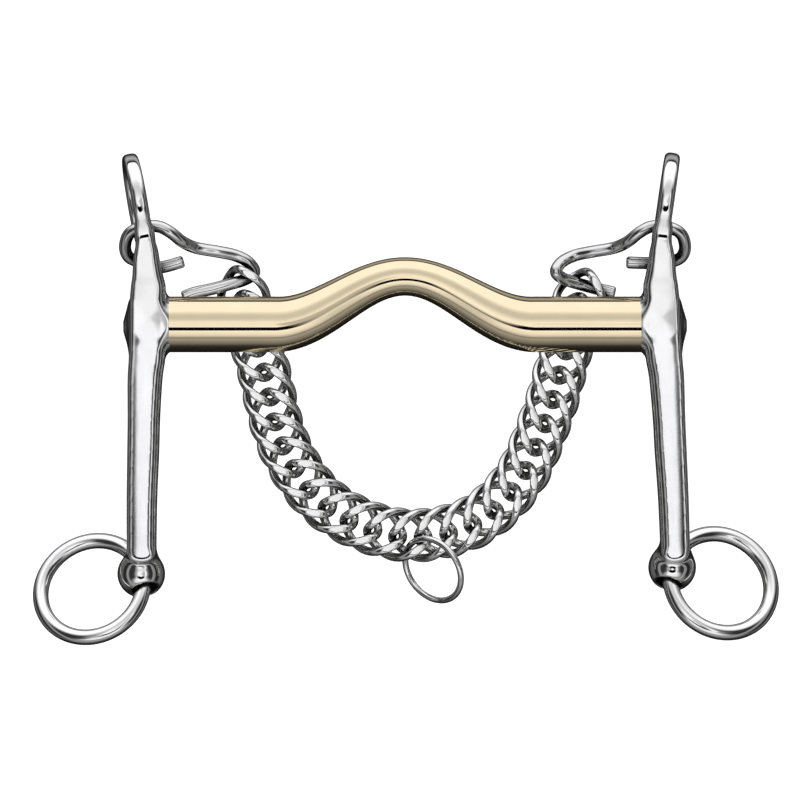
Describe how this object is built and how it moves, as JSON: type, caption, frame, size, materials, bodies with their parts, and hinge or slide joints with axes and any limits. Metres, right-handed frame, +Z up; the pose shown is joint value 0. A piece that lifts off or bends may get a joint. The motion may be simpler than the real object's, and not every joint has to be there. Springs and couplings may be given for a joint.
{
  "type": "curb bit",
  "caption": "Curb bit: arched round mouthpiece between straight fixed cheeks, rein rings at their feet, double-link curb chain hung on two wire hooks, and a lip-strap ring.",
  "frame": {"origin": "centre of the footprint, on the surface that the bit lies on", "axes": "+X along the mouthpiece towards the right cheek as drawn, +Y towards the headstall eyes, +Z up from the surface"},
  "size_m": [0.2078, 0.1368, 0.0276],
  "materials": {
    "gold_alloy": "polished copper alloy, pale gold",
    "polished_steel": "mirror-polished stainless steel",
    "chain_steel": "tumbled and polished stainless steel wire"
  },
  "bodies": {
    "bit": {"mouthpiece": "gold_alloy", "left_cheek": "polished_steel", "right_cheek": "polished_steel"},
    "left_rein_ring": {"left_rein_ring": "polished_steel"},
    "right_rein_ring": {"right_rein_ring": "polished_steel"},
    "left_curb_hook": {"left_curb_hook": "polished_steel"},
    "right_curb_hook": {"right_curb_hook": "polished_steel"},
    "chain_ends": {"chain_link_01": "chain_steel", "chain_link_26": "chain_steel"},
    "chain_link_02": {"chain_link_02": "chain_steel"},
    "chain_link_03": {"chain_link_03": "chain_steel"},
    "chain_link_04": {"chain_link_04": "chain_steel"},
    "chain_link_05": {"chain_link_05": "chain_steel"},
    "chain_link_06": {"chain_link_06": "chain_steel"},
    "chain_link_07": {"chain_link_07": "chain_steel"},
    "chain_link_08": {"chain_link_08": "chain_steel"},
    "chain_link_09": {"chain_link_09": "chain_steel"},
    "chain_link_10": {"chain_link_10": "chain_steel"},
    "chain_link_11": {"chain_link_11": "chain_steel"},
    "chain_link_12": {"chain_link_12": "chain_steel"},
    "chain_link_13": {"chain_link_13": "chain_steel"},
    "chain_link_14": {"chain_link_14": "chain_steel"},
    "chain_link_15": {"chain_link_15": "chain_steel"},
    "chain_link_16": {"chain_link_16": "chain_steel"},
    "chain_link_17": {"chain_link_17": "chain_steel"},
    "chain_link_18": {"chain_link_18": "chain_steel"},
    "chain_link_19": {"chain_link_19": "chain_steel"},
    "chain_link_20": {"chain_link_20": "chain_steel"},
    "chain_link_21": {"chain_link_21": "chain_steel"},
    "chain_link_22": {"chain_link_22": "chain_steel"},
    "chain_link_23": {"chain_link_23": "chain_steel"},
    "chain_link_24": {"chain_link_24": "chain_steel"},
    "chain_link_25": {"chain_link_25": "chain_steel"},
    "lip_strap_ring": {"lip_strap_ring": "chain_steel"}
  },
  "joints": [
    {"name": "left_rein_ring_swing", "type": "hinge", "parent": "bit", "child": "left_rein_ring", "pos_m": [-0.07407, -0.04878, 0.01225], "axis": [0.2003, -0.8512, 0.4852], "range_deg": [-50, 160]},
    {"name": "right_rein_ring_swing", "type": "hinge", "parent": "bit", "child": "right_rein_ring", "pos_m": [0.0734, -0.04703, 0.01225], "axis": [-0.195, -0.8717, 0.4495], "range_deg": [-160, 40]},
    {"name": "left_hook_swing", "type": "hinge", "parent": "bit", "child": "left_curb_hook", "pos_m": [-0.0728, 0.04275, 0.01325], "axis": [1, 0, 0], "range_deg": [0, 17]},
    {"name": "right_hook_swing", "type": "hinge", "parent": "bit", "child": "right_curb_hook", "pos_m": [0.0712, 0.04275, 0.01325], "axis": [1, 0, 0], "range_deg": [0, 17]},
    {"name": "chain_swing", "type": "hinge", "parent": "left_curb_hook", "child": "chain_ends", "pos_m": [-0.04696, 0.03248, 0.00503], "axis": [0.9999, -0.0097, -0.0103], "range_deg": [-2, 50]},
    {"name": "link_02_roll", "type": "hinge", "parent": "chain_ends", "child": "chain_link_02", "pos_m": [-0.04378, 0.02078, 0.00475], "axis": [0.2726, -0.9621, 0], "range_deg": [-3.83, 3.83]},
    {"name": "link_03_roll", "type": "hinge", "parent": "chain_ends", "child": "chain_link_03", "pos_m": [-0.04187, 0.01401, 0.00475], "axis": [0.2701, -0.9628, 0], "range_deg": [-7.17, 7.17]},
    {"name": "link_04_roll", "type": "hinge", "parent": "chain_ends", "child": "chain_link_04", "pos_m": [-0.04002, 0.00722, 0.00475], "axis": [0.2417, -0.9703, 0], "range_deg": [-10.5, 10.5]},
    {"name": "link_05_roll", "type": "hinge", "parent": "chain_ends", "child": "chain_link_05", "pos_m": [-0.03846, 0.00036, 0.00475], "axis": [0.2205, -0.9754, 0], "range_deg": [-13.83, 13.83]},
    {"name": "link_06_roll", "type": "hinge", "parent": "chain_ends", "child": "chain_link_06", "pos_m": [-0.03679, -0.00648, 0.00475], "axis": [0.2694, -0.963, 0], "range_deg": [-17.17, 17.17]},
    {"name": "link_07_roll", "type": "hinge", "parent": "chain_ends", "child": "chain_link_07", "pos_m": [-0.03449, -0.01313, 0.00475], "axis": [0.4005, -0.9163, 0], "range_deg": [-20.5, 20.5]},
    {"name": "link_08_roll", "type": "hinge", "parent": "chain_ends", "child": "chain_link_08", "pos_m": [-0.03125, -0.01937, 0.00475], "axis": [0.5133, -0.8582, 0], "range_deg": [-23.83, 23.83]},
    {"name": "link_09_roll", "type": "hinge", "parent": "chain_ends", "child": "chain_link_09", "pos_m": [-0.0272, -0.02511, 0.00475], "axis": [0.6459, -0.7634, 0], "range_deg": [-27.17, 27.17]},
    {"name": "link_10_roll", "type": "hinge", "parent": "chain_ends", "child": "chain_link_10", "pos_m": [-0.02213, -0.02998, 0.00475], "axis": [0.7938, -0.6082, 0], "range_deg": [-30.5, 30.5]},
    {"name": "link_11_roll", "type": "hinge", "parent": "chain_ends", "child": "chain_link_11", "pos_m": [-0.01615, -0.03366, 0.00475], "axis": [0.8932, -0.4496, 0], "range_deg": [-30.5, 30.5]},
    {"name": "link_12_roll", "type": "hinge", "parent": "chain_ends", "child": "chain_link_12", "pos_m": [-0.00965, -0.03634, 0.00475], "axis": [0.9509, -0.3094, 0], "range_deg": [-30.5, 30.5]},
    {"name": "link_13_roll", "type": "hinge", "parent": "chain_ends", "child": "chain_link_13", "pos_m": [-0.00281, -0.03795, 0.00475], "axis": [0.9912, -0.1322, 0], "range_deg": [-30, 30]},
    {"name": "link_14_roll", "type": "hinge", "parent": "chain_ends", "child": "chain_link_14", "pos_m": [0.00422, -0.03813, 0.00475], "axis": [0.9974, 0.0715, 0], "range_deg": [-30.5, 30.5]},
    {"name": "link_15_roll", "type": "hinge", "parent": "chain_ends", "child": "chain_link_15", "pos_m": [0.01115, -0.03701, 0.00475], "axis": [0.9698, 0.2439, 0], "range_deg": [-30.5, 30.5]},
    {"name": "link_16_roll", "type": "hinge", "parent": "chain_ends", "child": "chain_link_16", "pos_m": [0.01777, -0.03465, 0.00475], "axis": [0.8963, 0.4434, 0], "range_deg": [-30.5, 30.5]},
    {"name": "link_17_roll", "type": "hinge", "parent": "chain_ends", "child": "chain_link_17", "pos_m": [0.02361, -0.03076, 0.00475], "axis": [0.763, 0.6464, 0], "range_deg": [-30.5, 30.5]},
    {"name": "link_18_roll", "type": "hinge", "parent": "chain_ends", "child": "chain_link_18", "pos_m": [0.02851, -0.02572, 0.00475], "axis": [0.6357, 0.7719, 0], "range_deg": [-27.17, 27.17]},
    {"name": "link_19_roll", "type": "hinge", "parent": "chain_ends", "child": "chain_link_19", "pos_m": [0.03247, -0.01992, 0.00475], "axis": [0.4817, 0.8763, 0], "range_deg": [-23.83, 23.83]},
    {"name": "link_20_roll", "type": "hinge", "parent": "chain_ends", "child": "chain_link_20", "pos_m": [0.03543, -0.01354, 0.00475], "axis": [0.3801, 0.9249, 0], "range_deg": [-20.5, 20.5]},
    {"name": "link_21_roll", "type": "hinge", "parent": "chain_ends", "child": "chain_link_21", "pos_m": [0.03796, -0.00697, 0.00475], "axis": [0.3512, 0.9363, 0], "range_deg": [-17.17, 17.17]},
    {"name": "link_22_roll", "type": "hinge", "parent": "chain_ends", "child": "chain_link_22", "pos_m": [0.04027, -0.00033, 0.00475], "axis": [0.2901, 0.957, 0], "range_deg": [-13.83, 13.83]},
    {"name": "link_23_roll", "type": "hinge", "parent": "chain_ends", "child": "chain_link_23", "pos_m": [0.04213, 0.00646, 0.00475], "axis": [0.2554, 0.9668, 0], "range_deg": [-10.5, 10.5]},
    {"name": "link_24_roll", "type": "hinge", "parent": "chain_ends", "child": "chain_link_24", "pos_m": [0.04398, 0.01325, 0.00475], "axis": [0.264, 0.9645, 0], "range_deg": [-7.17, 7.17]},
    {"name": "link_25_roll", "type": "hinge", "parent": "chain_ends", "child": "chain_link_25", "pos_m": [0.0458, 0.02005, 0.00475], "axis": [0.256, 0.9667, 0], "range_deg": [-3.83, 3.83]},
    {"name": "lip_strap_ring_swing", "type": "hinge", "parent": "chain_link_13", "child": "lip_strap_ring", "pos_m": [-0.00364, -0.04419, 0.00475], "axis": [0.9912, -0.1322, 0], "range_deg": [-4, 9]}
  ],
  "couplings": [
    {"joint": "right_hook_swing", "follows": "left_hook_swing", "ratio": 1},
    {"joint": "link_02_roll", "follows": "link_13_roll", "ratio": 0.1111},
    {"joint": "link_03_roll", "follows": "link_13_roll", "ratio": 0.2222},
    {"joint": "link_04_roll", "follows": "link_13_roll", "ratio": 0.3333},
    {"joint": "link_05_roll", "follows": "link_13_roll", "ratio": 0.4444},
    {"joint": "link_06_roll", "follows": "link_13_roll", "ratio": 0.5556},
    {"joint": "link_07_roll", "follows": "link_13_roll", "ratio": 0.6667},
    {"joint": "link_08_roll", "follows": "link_13_roll", "ratio": 0.7778},
    {"joint": "link_09_roll", "follows": "link_13_roll", "ratio": 0.8889},
    {"joint": "link_10_roll", "follows": "link_13_roll", "ratio": 1},
    {"joint": "link_11_roll", "follows": "link_13_roll", "ratio": 1},
    {"joint": "link_12_roll", "follows": "link_13_roll", "ratio": 1},
    {"joint": "link_14_roll", "follows": "link_13_roll", "ratio": 1},
    {"joint": "link_15_roll", "follows": "link_13_roll", "ratio": 1},
    {"joint": "link_16_roll", "follows": "link_13_roll", "ratio": 1},
    {"joint": "link_17_roll", "follows": "link_13_roll", "ratio": 1},
    {"joint": "link_18_roll", "follows": "link_13_roll", "ratio": 0.8889},
    {"joint": "link_19_roll", "follows": "link_13_roll", "ratio": 0.7778},
    {"joint": "link_20_roll", "follows": "link_13_roll", "ratio": 0.6667},
    {"joint": "link_21_roll", "follows": "link_13_roll", "ratio": 0.5556},
    {"joint": "link_22_roll", "follows": "link_13_roll", "ratio": 0.4444},
    {"joint": "link_23_roll", "follows": "link_13_roll", "ratio": 0.3333},
    {"joint": "link_24_roll", "follows": "link_13_roll", "ratio": 0.2222},
    {"joint": "link_25_roll", "follows": "link_13_roll", "ratio": 0.1111}
  ]
}
